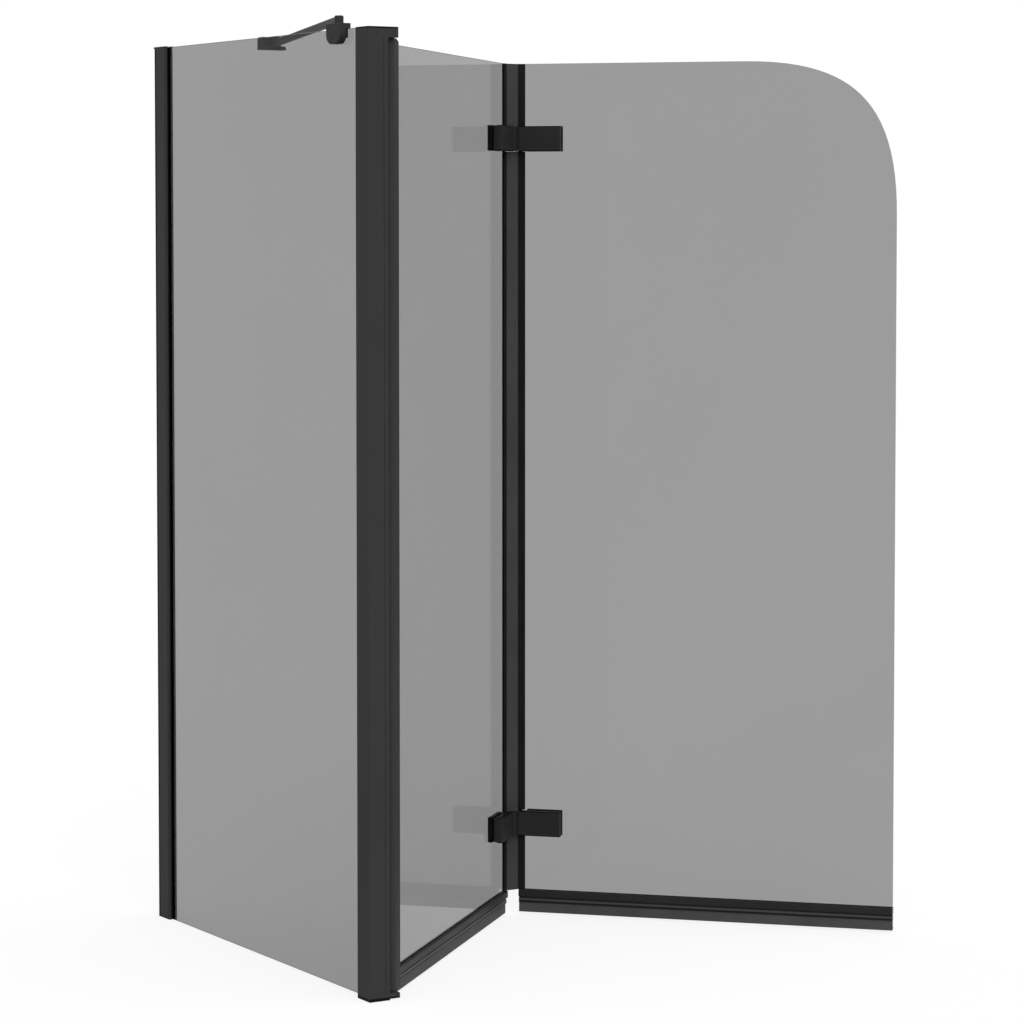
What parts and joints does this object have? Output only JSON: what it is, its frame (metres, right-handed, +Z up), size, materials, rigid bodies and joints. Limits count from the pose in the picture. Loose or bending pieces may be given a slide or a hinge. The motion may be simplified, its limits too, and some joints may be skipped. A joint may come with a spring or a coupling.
{
  "type": "bath screen",
  "caption": "Corner bath screen: fixed side pane in a wall profile, square corner post, hinged door pane with a folding second pane, and a top support arm.",
  "frame": {"origin": "on the wall plane, in the middle plane of the fixed side pane, at the level of the bath rim", "axes": "+Y into the wall, +X along the closed doors away from the corner post, +Z up"},
  "size_m": [0.884, 0.68, 1.3227],
  "materials": {
    "black_aluminium": "fine matt powder coat",
    "smoked_glass": "polished, grey tinted",
    "soft_pvc": "soft, satin",
    "black_rubber": "matt",
    "black_plastic": "fine satin",
    "dark_steel": "blackened"
  },
  "bodies": {
    "root": {"arm_bar": "black_aluminium", "arm_clamp_pads": "black_rubber", "arm_clamp_screw": "dark_steel", "arm_clamp_swivel_screw": "dark_steel", "arm_glass_clamp": "black_aluminium", "arm_wall_bracket": "black_aluminium", "arm_wall_swivel_screw": "dark_steel", "corner_post": "black_aluminium", "pivot_pins": "dark_steel", "pivot_seal": "soft_pvc", "post_bottom_cap": "black_plastic", "post_cap_screws": "dark_steel", "post_gasket": "black_rubber", "post_top_cap": "black_plastic", "side_glass": "smoked_glass", "wall_channel": "black_aluminium", "wall_gasket": "black_rubber", "wall_glass_profile": "black_aluminium", "wall_profile_cap": "black_plastic", "wall_profile_lock_screws": "dark_steel"},
    "door_1": {"bottom_pivot_bush": "black_plastic", "door_1_bottom_rail": "black_aluminium", "door_1_edge_strip": "black_plastic", "door_1_gasket": "black_rubber", "door_1_glass": "smoked_glass", "door_1_glass_sleeves": "black_rubber", "door_1_hinge_pads": "black_rubber", "door_1_hinge_screws": "dark_steel", "door_1_profile": "black_aluminium", "door_1_wiper": "soft_pvc", "lower_hinge_pin": "dark_steel", "top_pivot_bush": "black_plastic", "upper_hinge_pin": "dark_steel", "lower_hinge_cover_1": "black_plastic", "lower_hinge_inner_plate_1": "black_aluminium", "lower_hinge_leaf_1": "black_aluminium", "upper_hinge_cover_1": "black_plastic", "upper_hinge_inner_plate_1": "black_aluminium", "upper_hinge_leaf_1": "black_aluminium", "fold_seal_lower": "soft_pvc", "fold_seal_middle": "soft_pvc", "fold_seal_upper": "soft_pvc"},
    "door_2": {"door_2_bottom_rail": "black_aluminium", "door_2_edge_strip": "black_plastic", "door_2_glass": "smoked_glass", "door_2_glass_sleeves": "black_rubber", "door_2_hinge_pads": "black_rubber", "door_2_hinge_screws": "dark_steel", "door_2_wiper": "soft_pvc", "lower_hinge_cover_2": "black_plastic", "lower_hinge_inner_plate_2": "black_aluminium", "lower_hinge_leaf_2": "black_aluminium", "upper_hinge_cover_2": "black_plastic", "upper_hinge_inner_plate_2": "black_aluminium", "upper_hinge_leaf_2": "black_aluminium"}
  },
  "joints": [
    {"name": "door_1_pivot", "type": "hinge", "parent": "root", "child": "door_1", "pos_m": [0.0245, -0.6645, 0], "axis": [0, 0, 1], "range_deg": [-44, 46]},
    {"name": "door_2_fold", "type": "hinge", "parent": "door_1", "child": "door_2", "pos_m": [0.45402, -0.2657, 0], "axis": [0, 0, 1], "range_deg": [-35, 89.6], "deforming": ["fold_seal_lower", "fold_seal_middle", "fold_seal_upper"]}
  ]
}
